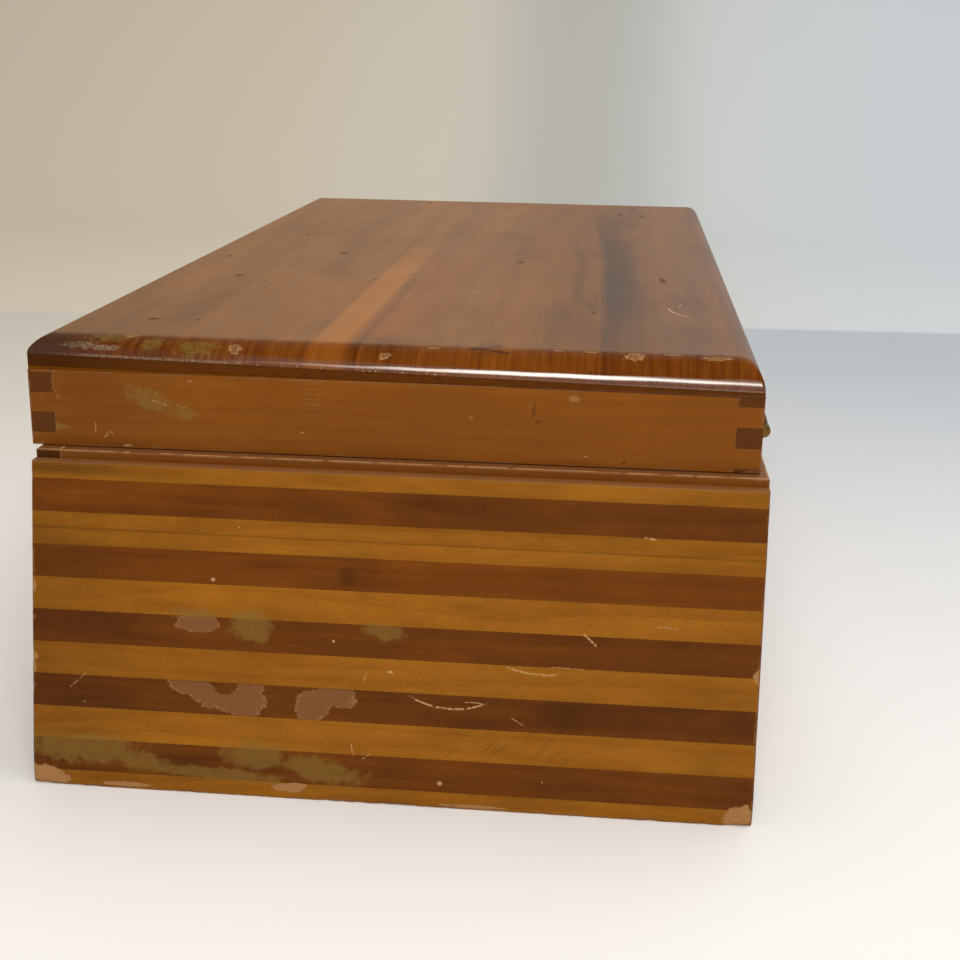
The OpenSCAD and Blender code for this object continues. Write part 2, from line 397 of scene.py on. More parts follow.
def add_piece(name, verts, faces, body, material, sharp=30):
    """A mesh piece in the row frame from points in millimetres."""
    mesh = bpy.data.meshes.new(name)
    mesh.from_pydata([Vector(v) * MM for v in verts], [], faces)
    mesh.validate()
    piece = bpy.data.objects.new(name, mesh)
    bpy.context.scene.collection.objects.link(piece)
    mesh.materials.append(material)
    mesh.shade_smooth()
    mesh.set_sharp_from_angle(angle=math.radians(sharp))
    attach(piece, body)
    return piece


def grid_faces(rows, columns, wrap=True):
    """Quads between rows of points, where each row is a closed ring if wrap is true."""
    faces = []
    last = columns if wrap else columns - 1
    for r in range(rows - 1):
        for c in range(last):
            d = (c + 1) % columns
            faces.append((r * columns + c, r * columns + d, (r + 1) * columns + d, (r + 1) * columns + c))
    return faces


def spread(start, stop, step, fine, fine_step):
    """Stations from start to stop, closer together within fine of each end."""
    count = max(2, round((stop - start - 2 * fine) / step))
    inner = list(np.linspace(start + fine, stop - fine, count + 1))
    steps = max(2, round(fine / fine_step))
    head = list(np.linspace(start, start + fine, steps + 1))[:-1]
    tail = list(np.linspace(stop - fine, stop, steps + 1))[1:]
    return head + inner + tail


def worn_radius(place, base, extra, seed):
    """The radius of a worn edge at a place along it, in millimetres."""
    slow = noise.noise(Vector((place / 18, seed, 0.3)))
    quick = noise.noise(Vector((place / 3.5, seed + 9, 1.7)))
    return base + extra * max(0, 0.5 * slow + 0.5 * quick) * 2


def quarter(distance, radius):
    """How far a rounded edge lies inside the flat face, at a distance from the sharp edge."""
    if distance >= radius:
        return 0.0
    return radius - math.sqrt(max(0.0, radius * radius - (radius - distance) ** 2))


def panel_wear(panel, x, down, seed):
    """How far the panel's outer face lies back at a place near its rounded and worn edges."""
    left_gap, right_gap, foot_gap = x - panel.left, panel.right - x, panel.slope - down
    foot_corner = max(0.0, 1 - foot_gap / 9) ** 2
    side_corner = max(0.0, 1 - min(left_gap, right_gap) / 12) ** 2
    return max(
        quarter(left_gap, worn_radius(down, 0.5, 0.5, seed + 1) + 1.6 * foot_corner),
        quarter(right_gap, worn_radius(down, 0.5, 0.5, seed + 2) + 1.6 * foot_corner),
        quarter(down, worn_radius(x, 0.45, 0.35, seed + 3)),
        quarter(foot_gap, worn_radius(x, 0.7, 0.9, seed + 4) + 1.4 * side_corner),
    )


def strip_piece(panel, i, material):
    """One strip of a panel, rounded and worn where it meets the panel's own edges."""
    top, bottom = panel.cuts[i], panel.cuts[i + 1]
    first, last = i == 0, i == STRIPS - 1
    tan = math.tan(panel.lean)
    downs = list(np.linspace(top, bottom, 7))
    if first:
        downs = [0, 0.12, 0.3, 0.55, 0.9, 1.4] + downs[2:]
    if last:
        downs = downs[:-3] + [panel.slope - d for d in (2.4, 1.6, 1.0, 0.6, 0.3, 0.1, 0)]
    xs = spread(panel.left, panel.right, 1.6, 3.0, 0.3)
    seed = 3.0 if panel.side < 0 else 31.0
    verts = []
    for x in xs:
        for down in downs:
            inward = panel_wear(panel, x, down, seed)
            shear = inward * tan if first or last else 0.0
            verts.append(panel.point(x, down - shear, inward))
        inner_bottom = bottom - panel.thick * tan if last else bottom
        inner_top = top - panel.thick * tan if first else top
        verts.append(panel.point(x, inner_bottom, panel.thick))
        verts.append(panel.point(x, inner_top, panel.thick))
    ring = len(downs) + 2
    faces = grid_faces(len(xs), ring)
    faces.append(tuple(range(ring - 1, -1, -1)))
    start = (len(xs) - 1) * ring
    faces.append(tuple(range(start, start + ring)))
    if panel.side < 0:
        faces = [face[::-1] for face in faces]
    piece = add_piece(f"{panel.end}_strip_{i + 1}_wood", verts, faces, "case", material)
    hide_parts(panel.strip(i))


def rounding(gap, reach, depth):
    """How far the top board's surface has dropped at a distance from its edge."""
    inside = max(0.0, 1 - gap / reach)
    return depth * (1 - (1 - inside ** ROUND_POWER) ** (1 / ROUND_POWER))


def top_drop(x, y):
    """How far the top board's surface lies below its flat, with a mitre where two roundings meet."""
    share = (x - top_low.x) / width
    depth = ROUND_LEFT + (ROUND_RIGHT - ROUND_LEFT) * share
    ripple = noise.noise(Vector((x / 14, y / 30, 2.0))) * 1.2
    sides = max(
        rounding(x - top_low.x, REACH_LEFT, depth),
        rounding(top_high.x - x, REACH_RIGHT, depth),
    )
    ends = max(
        rounding(y - top_low.y, REACH_NEAR - 3 * share + ripple, depth),
        rounding(top_high.y - y, REACH_FAR, depth),
    )
    blend = 0.5 * min(sides, ends) + 1e-6
    meet = max(0.0, blend - abs(sides - ends)) / blend
    drop = min(depth, max(sides, ends) + meet * meet * blend / 4)
    inner = min(x - top_low.x, top_high.x - x, y - top_low.y, top_high.y - y)
    wave = 0.5 + noise.noise(Vector((x / 45, y / 80, 7.0)))
    return drop + 0.12 * max(0.0, wave) * min(1.0, inner / 6)


def edge_stations(low, high, near, far, step):
    """Stations across the top board, close together over the rounding at each edge."""
    turns = np.linspace(0, math.pi / 2, 17)
    head = [low + near * (1 - math.cos(t)) for t in turns]
    tail = [high - far * (1 - math.cos(t)) for t in turns][::-1]
    count = round((tail[0] - head[-1]) / step)
    return head + list(np.linspace(head[-1], tail[0], count + 1))[1:-1] + tail


def corner_place(x, y, radius):
    """A place on the top board, drawn in where one of its upright corners is rounded."""
    dx = min(x - top_low.x, top_high.x - x)
    dy = min(y - top_low.y, top_high.y - y)
    if dx >= radius or dy >= radius:
        return x, y
    a, b = radius - dx, radius - dy
    pull = max(a, b) / math.hypot(a, b)
    return x + math.copysign(a * (1 - pull), -x), y + math.copysign(b * (1 - pull), -y)


def outline(rows, columns):
    """The indexes of a grid's outermost points, in order around it."""
    rim = [(i, 0) for i in range(rows)]
    rim += [(rows - 1, j) for j in range(1, columns)]
    rim += [(i, columns - 1) for i in range(rows - 2, -1, -1)]
    rim += [(0, j) for j in range(columns - 2, 0, -1)]
    return [i * columns + j for i, j in rim]


def top_piece(material):
    """The lid's top board: rounded by hand along its upper edges, so its surface isn't quite true."""
    # Each edge's close stations go a little further in than its rounding.
    xs = edge_stations(top_low.x, top_high.x, 6, 9, 3.0)
    ys = edge_stations(top_low.y, top_high.y, 15, 8, 3.0)
    corner = 1.1
    verts = [(*corner_place(x, y, corner), top_high.z - top_drop(x, y)) for x in xs for y in ys]
    faces = [face[::-1] for face in grid_faces(len(xs), len(ys), wrap=False)]
    upper = outline(len(xs), len(ys))
    previous = upper
    for level in (0.5, 0.12, 0.0):
        start = len(verts)
        for index in upper:
            x, y, z = verts[index]
            verts.append((x, y, top_low.z + (z - top_low.z) * level))
        current = list(range(start, len(verts)))
        for n, index in enumerate(current):
            m = (n + 1) % len(current)
            faces.append((previous[n], index, current[m], previous[m]))
        previous = current
    faces.append(tuple(previous[::-1]))
    piece = add_piece("lid_top_wood", verts, faces, "lid", material, sharp=45)
    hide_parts("lid_top")


def soften(node, reach):
    """Rounds a CAD board's edges by a little, without touching its mesh."""
    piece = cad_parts[node]
    weld = piece.modifiers.new("weld", "WELD")
    weld.merge_threshold = 0.002 * MM
    flat = piece.modifiers.new("flat", "DECIMATE")
    flat.decimate_type = "DISSOLVE"
    flat.angle_limit = math.radians(1)
    bevel = piece.modifiers.new("bevel", "BEVEL")
    bevel.width = reach * MM
    bevel.segments = 2
    bevel.limit_method = "ANGLE"
    bevel.angle_limit = math.radians(40)


def paint(node, material):
    """Gives a CAD node one material."""
    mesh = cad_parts[node].data
    mesh.materials.clear()
    mesh.materials.append(material)


# ---------------------------------------------------------------- materials

# The pale and the deep colour of each wood, and then colours that stand alone.
LIGHT = (srgb("#9E6516"), srgb("#7B4608"))
DARK = (srgb("#743E06"), srgb("#4E2502"))
RAIL = (srgb("#8E5212"), srgb("#6E3B07"))
CASE = (srgb("#8A4F14"), srgb("#663608"))
TOP = (srgb("#935B1B"), srgb("#66360B"))
END_GRAIN = srgb("#4A2A0E")
TOP_END = srgb("#42220A")
BARE = srgb("#BA8A54")
RAW = srgb("#C79B66")
FLAKE = srgb("#825634")
OLIVE = srgb("#7E6029")
PALE = srgb("#C49A6A")
GRIME = srgb("#24140A")

# Marks on the near panel: across from its left edge and down its slope, in millimetres.
NEAR_OLIVE = [
    (71, 49, 17, 13, 20), (53, 46.5, 18, 5, 0), (113, 49, 18, 6, 8),
    (16, 91.5, 50, 12, 2), (36, 95, 22, 9, 4), (72, 91, 26, 11, 2), (94, 94.5, 34, 10, 9),
    (60, 97.5, 60, 5, 2),
]
NEAR_FLAKES = [
    (54, 49.2, 15, 6, -4), (51, 68.5, 16, 8, 8), (59, 72.5, 18, 8, 8), (68, 73.5, 16, 10, 0),
    (71, 68.5, 9, 7, 0), (91, 73.5, 13, 9.5, -20), (98, 70, 13, 8.5, 10),
]
NEAR_HOLES = [(62.6, 68.9, 9, 6, 0), (88, 67.0, 4, 4, 0)]
NEAR_CHIPS = [
    (4, 101, 17, 6.5, 12), (84, 100.5, 11, 3.2, -5), (224, 101, 11, 6.5, -28), (0, 62.5, 5, 3.0, 0),
    (0, 66, 2.5, 5, 0), (0.5, 40, 2, 5, 0), (228, 57, 3, 5, 0), (31, 102.8, 16, 1.6, 0),
    (142, 103.2, 22, 1.2, 0),
]
NEAR_SCRATCHES = [
    (133, 72.2, 27, 0.75, 3, -3.6), (142, 69.8, 8, 0.35, 4, 0.5), (159, 59.6, 18, 0.7, 6, -1.1),
    (15, 69.5, 8.5, 0.25, -44, 0), (176.5, 48, 6.5, 0.8, 42, 0), (200, 43, 7, 0.3, 2, 0.3),
    (107, 64, 4, 0.35, -70, 0), (193.5, 15.8, 4, 0.8, 8, 0), (155, 75, 5.5, 0.3, 32, 0),
    (103.5, 87, 4.5, 0.5, 80, 0), (108, 89, 3.5, 0.4, -40, 0), (170, 57.3, 12, 0.25, 1, 0),
]
NEAR_FLECKS = [
    (58.5, 35, 1.8, 1.4, 0), (131.5, 96.3, 1.9, 1.6, 0), (97, 52.7, 1, 1, 0), (115, 61.5, 2.4, 0.9, 0),
]
NEAR_SHADES = [
    (10, 9, 120, 13, 0.42), (150, 10, 110, 17, -0.22), (10, 2, 110, 7, -0.28), (214, 10, 60, 14, -0.14),
    (12, 31, 44, 16, -0.22), (50, 94.5, 34, 9, -0.28), (171, 72, 34, 14, -0.38),
    (224, 71, 20, 12, -0.25), (101, 32, 9, 8, -0.45), (104, 26, 20, 14, -0.16), (107, 39, 12, 12, -0.12),
    (138, 40, 14, 5, -0.22), (125, 59, 60, 10, 0.12), (60, 41, 90, 10, 0.10), (170, 60, 50, 8, -0.12),
    (110, 5, 60, 7, 0.08), (20, 52, 60, 12, -0.10), (140, 25, 90, 10, 0.08), (214, 86, 16, 12, -0.14),
]


class Marks:
    """The marks on one panel, each a place across it and down its slope."""

    def __init__(self, seed=None):
        self.olive, self.flakes, self.holes = NEAR_OLIVE, NEAR_FLAKES, NEAR_HOLES
        self.chips, self.scratches, self.flecks = NEAR_CHIPS, NEAR_SCRATCHES, NEAR_FLECKS
        self.shades = NEAR_SHADES
        if seed is not None:
            self.scatter(random.Random(seed))

    def scatter(self, rng):
        """Other marks, for the panel that the photograph doesn't show."""
        def place():
            return rng.uniform(8, 220), rng.uniform(6, 98)
        self.olive = [
            (*place(), rng.uniform(8, 22), rng.uniform(4, 9), rng.uniform(-15, 15)) for _ in range(3)
        ]
        self.flakes = [
            (*place(), rng.uniform(6, 14), rng.uniform(4, 8), rng.uniform(-20, 20)) for _ in range(3)
        ]
        self.holes = []
        self.chips = [
            (1, 101, 12, 6, 15), (227, 100, 9, 7, -25), (150, 102.5, 9, 2.5, 0), (228, 30, 3, 5, 0),
        ]
        self.scratches = [
            (*place(), rng.uniform(4, 22), rng.uniform(0.3, 0.7), rng.uniform(-40, 40),
             rng.uniform(-1.5, 1.5))
            for _ in range(8)
        ]
        self.flecks = [(*place(), 2, 1.5, 0) for _ in range(4)]
        self.shades = [
            (*place(), rng.uniform(20, 90), rng.uniform(9, 15), rng.uniform(-0.3, 0.1)) for _ in range(9)
        ]


def reaching(marks, top, bottom):
    """The marks that reach a strip between two places down the slope."""
    kept = []
    for mark in marks:
        reach = max(mark[2], mark[3]) * 0.75 + 2
        if top - reach < mark[1] < bottom + reach:
            kept.append(mark)
    return kept


# How bright each strip of a panel is, from the top one down.
STRIP_TONE = [1.0, 1.08, 0.98, 1.2, 1.06, 1.0, 1.0, 0.92, 1.03, 1.05, 0.98]


def strip_wood(g, panel, i, marks, sheet, u, v, seed):
    """A strip's varnished wood before any damage, and the relief of its fibres."""
    pale, deep = LIGHT if i % 2 == 0 else DARK
    top, bottom = panel.cuts[i], panel.cuts[i + 1]
    tone, fine = wood_tone(g, u, v, g.y, seed, 3.1, 0.16, 0.26, 0.42, 0.24)
    colour = g.mix(tone, pale, deep)
    colour = g.mix(pores(g, u, v, g.y, seed) * 0.5, colour, deep)
    factor = STRIP_TONE[i] - 0.22 * u.fall(0, 55) - 0.10 * u.rise(165, 228)
    factor = factor + (g.noise(g.vector(u / 21, v / 9, seed), 3.0, 0.6) - 0.5) * 0.5
    factor = factor + sheet.spots(reaching(marks.shades, top, bottom))
    if i == 2:
        # A dark line in the grain, nearly level.
        factor = factor - 0.24 * (v - 20.9 - (u - 110) * 0.002).abs().fall(0.15, 0.45)
    if panel.side < 0 and i in (7, 8):
        # Slanting brush marks in the varnish.
        brushed = g.noise(sheet.framed((156, 84), (28, 1.1), -38), 2.0, 0.6)
        field = (u - 156).abs().fall(14, 30) * v.rise(72, 79)
        factor = factor - brushed.rise(0.52, 0.66) * field * 0.28
    joint = (v - top).low(bottom - v).abs().fall(0.0, 0.22)
    factor = factor - joint * 0.10
    colour = g.shade(colour, factor)
    peel = g.noise(g.vector(u / 0.7, v / 0.55, seed), 2.0, 0.7)
    return g.shade(colour, 1 + (peel - 0.5) * 0.5), fine


def strip_damage(g, panel, i, marks, sheet, u, v, seed, colour, height, rough):
    """The marks that cross a strip: stains, flaked varnish, scratches, specks and chips."""
    top, bottom = panel.cuts[i], panel.cuts[i + 1]
    olive = reaching(marks.olive, top, bottom)
    if olive:
        mask = sheet.patches(olive, 1.7, 0.5)
        mottle = g.noise(g.vector(u / 1.6, v / 1.6, seed), 3.0, 0.7)
        colour = g.mix(mask * (0.30 + mottle * 0.6), colour, OLIVE)
        rough = rough + mask * 0.15
    flakes = reaching(marks.flakes, top, bottom)
    if flakes and i % 2 == 1:
        inside = v.rise(top - 0.2, top + 0.5) * v.fall(bottom - 0.5, bottom + 0.2)
        away = sheet.distance(flakes, 1.1)
        mask, rim = away.fall(0.9, 1.0), away.rise(0.84, 0.94) * away.fall(0.96, 1.03)
        holes = reaching(marks.holes, top, bottom)
        if holes:
            kept = 1 - sheet.patches(holes, 0.7, 0.2)
            mask, rim = mask * kept, rim * kept
        mask, rim = mask * inside, rim * inside
        grit = g.noise(g.vector(u / 0.7, v / 0.7, seed), 3.0, 0.7)
        colour = g.mix(mask * (0.72 + (grit - 0.5) * 0.5), colour, FLAKE)
        colour = g.mix(rim * grit.rise(0.40, 0.66) * 0.40, colour, PALE)
        height = height - mask * 0.8 + grit * mask * 0.5
        rough = rough + mask * 0.25
    flecks = reaching(marks.flecks, top, bottom)
    if flecks:
        colour = g.mix(sheet.patches(flecks, 1.0, 0.3) * 0.75, colour, PALE)
    cuts = reaching(marks.scratches, top, bottom)
    if cuts:
        mask = sheet.scratches(cuts)
        broken = g.noise(g.vector(u / 0.8, v / 0.8, seed), 2.0, 0.7).rise(0.36, 0.56)
        colour = g.mix(mask * broken * 0.8, colour, PALE)
        height = height - mask * 0.8
        rough = rough + mask * 0.2
    specks = dots(g, u, v, 13, 0.5, seed)
    colour = g.mix(specks * 0.7, colour, PALE)
    dark_specks = dots(g, u, v, 11, 0.55, seed + 4)
    colour = g.mix(dark_specks * 0.6, colour, GRIME)
    chips = reaching(marks.chips, top, bottom)
    if chips:
        mask = sheet.patches(chips, 1.5, 0.12)
        grit = g.noise(g.vector(u / 0.9, v / 0.5, seed), 3.0, 0.7)
        colour = g.mix(mask, colour, g.shade(g.mix(grit, BARE, FLAKE), 0.95))
        rough = rough + mask * 0.3
        height = height - mask
    return colour, height, rough


def strip_edges(g, panel, i, u, v, seed, colour):
    """The worn outline of the panel, the strip's end grain and its bare back; on the top strip, a paler
    upward face and front edge, partly wear and partly painted light from above.
    """
    gap = u.low(width - u).low(panel.slope - v)
    edge = worn(g, gap, 0.75, seed + 2, 0.50)
    colour = g.mix(edge * 0.75, colour, FLAKE)
    if i == 0:
        # The top strip's upward face and its front top edge are painted paler: partly worn varnish,
        # partly painted light from above.
        colour = g.mix(g.nz.rise(0.6, 0.9) * 0.4, colour, FLAKE)
        line = v.abs().fall(0.15, 0.55) * g.noise(g.vector(u / 6, 0.0, seed), 3.0, 0.7).rise(0.36, 0.5)
        colour = g.mix(line * 0.7, colour, FLAKE)
    end = g.nx.abs().rise(0.6, 0.9)
    colour = g.mix(end * 0.55, colour, END_GRAIN)
    inner = (g.ny * -panel.side).rise(0.6, 0.9)
    return g.mix(inner, colour, RAW)


def strip_material(panel, i, marks):
    """One strip: its own wood, with the marks that cross it."""
    g = Graph(f"{panel.end}_strip_{i + 1}")
    seed = i * 1.37 + (0 if panel.side < 0 else 40)
    u = (g.x - panel.left) if panel.side < 0 else (panel.right - g.x)
    v = (panel.top_z - g.z) / math.cos(panel.lean)
    sheet = Sheet(g, u, v)
    colour, fine = strip_wood(g, panel, i, marks, sheet, u, v, seed)
    height = fine * 0.35
    rough = 0.44 + (fine - 0.5) * 0.25
    colour, height, rough = strip_damage(g, panel, i, marks, sheet, u, v, seed, colour, height, rough)
    colour = strip_edges(g, panel, i, u, v, seed, colour)
    return g.finish(colour, rough, height, specular=0.1)


def rail_marks(g, low, colour):
    """What has happened to the lid's near rail: a smudge, nicks, crust, pale spots and dark drips."""
    u = g.x - low.x
    smudges = [(39, 121.5, 22, 8.5, -22), (50, 118, 10, 5, -10), (8, 112, 10, 3, 0)]
    mottle = g.noise(g.vector(u / 1.4, g.z / 1.4, 2.0), 3.0, 0.7)
    sheet = Sheet(g, u, g.z, 3.0)
    mask = sheet.patches(smudges, 2.0, 0.6)
    colour = g.mix(mask * mottle.rise(0.2, 0.7) * 0.9, colour, OLIVE)
    fresh = g.y.fall(low.y + 0.2, low.y + 0.4)
    nicks = [
        (42, 121, 6, 0.25, -18, 0), (49, 120, 4, 0.2, -12, 0), (21, 112, 4, 0.4, 80, 0.5),
        (24.5, 109.8, 2.4, 0.5, 50, 0.4), (26, 110.6, 2, 0.4, -40, 0), (31, 106.7, 3, 0.7, 5, 0),
    ]
    colour = g.mix(sheet.scratches(nicks) * mottle.rise(0.3, 0.55) * fresh * 0.6, colour, PALE)
    crust = dots(g, u, g.z, 1.9, 0.55, 5.0) * u.fall(8, 20) * mottle.rise(0.4, 0.6) * fresh
    colour = g.mix(crust * 0.4, colour, PALE)
    spots = [(171.5, 127.0, 4, 2.6, 0), (52, 128.2, 2.5, 1, 0), (140, 120, 2, 1, 0)]
    colour = g.mix(sheet.patches(spots, 1.2, 0.5) * 0.22, colour, PALE)
    ladder = (u - 90.5).abs().fall(1.5, 4.0) * (g.z * 0.62).fract().rise(0.55, 0.8) * g.z.rise(116, 119)
    colour = g.mix(ladder * mottle.rise(0.45, 0.7) * 0.22, colour, PALE)
    drips = [(159.2, 123, 1.3, 6.5, -8), (160.5, 119.6, 3, 1.2, 20), (187, 107.5, 2.2, 1.4, 0)]
    return g.mix(sheet.patches(drips, 1.2, 0.7) * 0.45, colour, GRIME)


def rim_wear_and_painted_light(g, gap, seed, colour):
    """The case's rim: its upward faces paler, partly scuffs and partly painted light from above, and pale
    along its edges.
    """
    scuffed = g.noise(g.vector(g.x / 5, g.y / 5, seed), 4.0, 0.7)
    # Upward faces painted paler: scuffed varnish, and painted light from above.
    upper = g.nz.rise(0.3, 0.7)
    colour = g.mix(upper * (0.35 + scuffed * 0.6), colour, FLAKE)
    ridge = gap.fall(0.5, 1.1) * upper * scuffed.rise(0.40, 0.56)
    return g.mix(ridge * 0.6, colour, PALE)


def board_material(
    name, along, tones, seed, box,
    inward=None, near_rail=False, raw=False, joint=False, rim=False,
):
    """A board whose grain runs along x or y.

    inward is the axis and side on which its bare face lies. near_rail adds the marks of the lid's
    near rail, raw leaves the flat faces bare, joint draws the askew joint under the top board,
    and rim wears the upper edge and paints the upward faces paler, partly as painted light from above.
    """
    low, high = box
    g = Graph(name)
    a, b = (g.x, g.y) if along == "x" else (g.y, g.x)
    end = (g.nx if along == "x" else g.ny).abs().rise(0.6, 0.9)
    tone, fine = wood_tone(g, a, g.z, b, seed, 3.6, 0.12, 0.22, 0.30, 0.22)
    colour = g.mix(tone, *tones)
    pore = pores(g, a, g.z, b, seed, 0.66)
    colour = g.mix(pore * 0.45, colour, tones[1])
    factor = 1 + (g.noise(g.vector(g.x / 30, g.y / 30, g.z / 9 + seed), 3.0) - 0.5) * 0.35
    if near_rail:
        factor = factor - 0.16 * (g.x - low.x).fall(0, 75)
    colour = g.shade(colour, factor)
    rings = g.noise(g.vector(g.x / 2.2 + seed, g.y / 2.2, g.z / 0.8), 3.0, 0.6)
    colour = g.mix(end * 0.9, colour, g.shade(g.mix(rings, END_GRAIN, tones[1]), 0.5 if rim else 0.74))
    height = fine * 0.35 - pore * 0.25
    rough = 0.42 + (fine - 0.5) * 0.25
    if near_rail:
        colour = rail_marks(g, low, colour)
    gap = edge_gap(g, low, high)
    edge = worn(g, gap, 0.5, seed + 2, 0.47)
    colour = g.mix(edge * 0.65, colour, FLAKE)
    if rim:
        colour = rim_wear_and_painted_light(g, gap, seed, colour)
    cut = dots(g, a / 3, g.z, 9, 0.45, seed)
    colour = g.mix(cut * 0.5, colour, PALE)
    colour = g.mix(dots(g, a, g.z + b, 10, 0.5, seed + 3) * 0.55, colour, GRIME)
    if joint:
        colour = under_top(g, colour, fine, band_colour(g))
    if inward:
        axis, side = inward
        inner = ((g.nx if axis == "x" else g.ny) * side).rise(0.6, 0.9)
        colour = g.mix(inner, colour, g.mix(tone, RAW, BARE))
        rough = rough + inner * 0.2
    if raw:
        colour = g.mix(g.nz.abs().rise(0.6, 0.9), colour, g.mix(tone, RAW, BARE))
    return g.finish(colour, rough, height, specular=0.1)


def joint_rise(g):
    """Height above the joint between the rails and the top board, which runs a little askew."""
    share = (g.x - top_low.x) / width
    return g.z - (top_low.z + JOINT_LEFT) + share * (JOINT_LEFT - JOINT_RIGHT)


def band_colour(g):
    """The top board's end grain and edge, below its rounding."""
    rings = g.noise(g.vector(g.x / 3.0, g.y / 14, g.z / 0.9), 3.0, 0.6)
    return g.mix(rings, TOP_END, srgb("#6A3A12"))


def under_top(g, colour, fine, band):
    """Draws the joint between a rail and the top board's band across what is already there."""
    rise = joint_rise(g)
    colour = g.mix(rise.rise(-0.08, 0.08), colour, band)
    crack = rise.abs().fall(0.08, 0.25) * fine.rise(0.3, 0.5)
    return g.mix(crack * 0.5, colour, GRIME)


# Marks on the top board: across from its left edge and back from its near end.
DENTS = [
    (72, 425, 2.2, 8.6, 0), (190, 418, 3.6, 6.5, 25), (194, 407, 3.2, 5.8, 0), (183, 391, 2.5, 9.4, 0),
    (195, 384, 1.8, 11.5, 0), (32, 271, 2.2, 5.8, 15), (61, 209, 5, 5.8, 0), (141, 196, 3.6, 5.8, 0),
    (14, 191, 2.2, 6.5, 0), (99, 154, 1.7, 3.2, 0), (87, 139, 1.7, 3.6, 0), (49, 111, 1.7, 3.6, 0),
    (175, 79, 1.9, 3.6, 0), (43, 42, 2.4, 3.2, 0), (32, 139, 5, 5, 0), (201, 157, 2.6, 14.4, 5),
    (28, 41, 5.8, 5, 0), (141, 10, 9, 3, 4), (148, 7.6, 8, 2, -12), (147, 15, 6, 2.2, 20),
]
GOUGES = [(203.5, 84, 21, 0.9, -68, 2.2), (206, 100, 8, 0.45, 80, 0), (130, 118, 6, 0.5, 75, 0)]
RIDGE_FLECKS = [
    (189, 8.0, 6, 4.5, 0), (200, 10.5, 7, 1.8, 0), (214, 8.0, 8, 2.6, 0), (176, 10.5, 5, 1.6, 0),
    (166, 11, 3, 1.6, 0), (127, 9.5, 3, 2.0, 0), (113, 3.6, 3.4, 2.4, 0), (65.5, 4.2, 3.6, 4.2, 0),
    (30, 12, 4, 3.2, 0),
]
CRUST_GREEN = [(24, 9.8, 18, 8, 0), (39, 5.5, 9, 9, 0), (54, 4.5, 17, 9, 0)]
CRUST_GREY = [(17, 3.6, 15, 4.6, 0), (25, 2.8, 12, 3.2, 0)]


def top_streak(u, v, drift, broad):
    """The dark heartwood streak on the right, sharp on its left side, and the bent line beside it."""
    left = u + drift * 0.4 - 180 + v / 62 + (v - 235).high(0) / 22
    streak = left.rise(-0.8, 1.6) * (u - 190 + drift + (v - 190).high(0) / 14).fall(-9, 9)
    streak = streak * v.fall(240, 390) * (0.3 + 0.7 * v.rise(20, 85)) * (broad * 0.9 + 0.5)
    streak = streak.high(left.abs().fall(0.4, 1.8) * v.fall(230, 330) * 0.55)
    bent = 160.5 + 7.5 * v.fall(195, 275) + 9 * v.fall(78, 112)
    line = (u - bent + drift * 0.2).abs().fall(0.6, 3.6) * v.rise(76, 92) * v.fall(290, 345) * 0.6
    line = line.high((u - 172 - v / 40).abs().fall(6, 16) * (v - 375).abs().fall(30, 80) * 0.8)
    return streak, line


def top_figure(g, u, v, near, sheet):
    """The top board's wood, how dark it is and its fibres: streaks, and drips down the near rounding."""
    tone, fine = wood_tone(g, g.y, g.x, g.z, 5.0, 6.5, 0.10, 0.34, 0.34, 0.10)
    colour = g.mix(tone, *TOP)
    broad = g.noise(g.vector(u / 22, v / 170, 3.0), 3.0, 0.6)
    factor = 1 + (broad - 0.5) * 0.9
    drift = (g.noise(g.vector(v / 60, 1.0, 0.0), 2.0) - 0.5) * 5
    gold = (u - 94 + drift * 0.5).abs().fall(4.5, 7.0) * (0.35 + 0.65 * v.fall(150, 260))
    red = (u - 113).abs().fall(6, 14) * v.rise(5, 40) * v.fall(170, 240)
    streak, line = top_streak(u, v, drift, broad)
    fine_line = (u - 103.5 + drift * 0.4).abs().fall(0.3, 1.2) * v.fall(110, 190)
    factor = factor - streak * (0.4 + 0.12 * v.rise(60, 120)) - line * 0.38 - fine_line * 0.35
    factor = factor - u.rise(150, 175) * v.fall(120, 200) * 0.14
    factor = factor - 0.22 * u.fall(5, 70) * v.fall(20, 160) - 0.12 * u.rise(185, 215)
    shades = [
        (110, 14, 26, 40, -0.35), (144, 12, 12, 34, -0.35),
        (60, 180, 60, 120, -0.10), (168, 62, 30, 130, -0.22),
    ]
    factor = factor + sheet.spots(shades)
    drips = g.noise(g.vector(u / 2.3, v / 40, 8.0), 3.0, 0.65)
    factor = factor + (drips - 0.5) * near * 1.7 - near * 0.36 - near * u.fall(30, 160) * 0.3
    colour = g.shade(colour, factor.high(0.12))
    colour = g.mix(gold * (0.55 - near * 0.25), colour, srgb("#B0691C"))
    colour = g.mix(red * 0.15, colour, srgb("#A5501A"))
    colour = g.mix(streak * 0.3, colour, srgb("#2C2018"))
    colour = g.mix(near * 0.3, colour, srgb("#8A3E06"))
    return colour, tone, fine


def top_wear(g, u, v, sheet, colour):
    """Dents, pits, gouges and broken varnish along the near ridge, and how much duller they are."""
    dark = sheet.patches(DENTS, 1.3, 0.35)
    colour = g.mix(dark * 0.6, colour, GRIME)
    pits = dots(g, u, v / 1.6, 12, 1.0, 6.0).high(dots(g, u + 5, v / 1.4, 17, 1.6, 9.0))
    colour = g.mix(pits * 0.55, colour, GRIME)
    cuts = sheet.scratches(GOUGES)
    colour = g.mix(cuts * 0.85, colour, PALE)
    away = sheet.distance(RIDGE_FLECKS, 3.6)
    flecks, ring = away.fall(0.8, 1.0), away.rise(0.7, 0.9) * away.fall(0.94, 1.05)
    colour = g.mix(flecks * 0.2 + ring * 0.55, colour, PALE)
    return colour, flecks * 0.3 + dark * 0.2


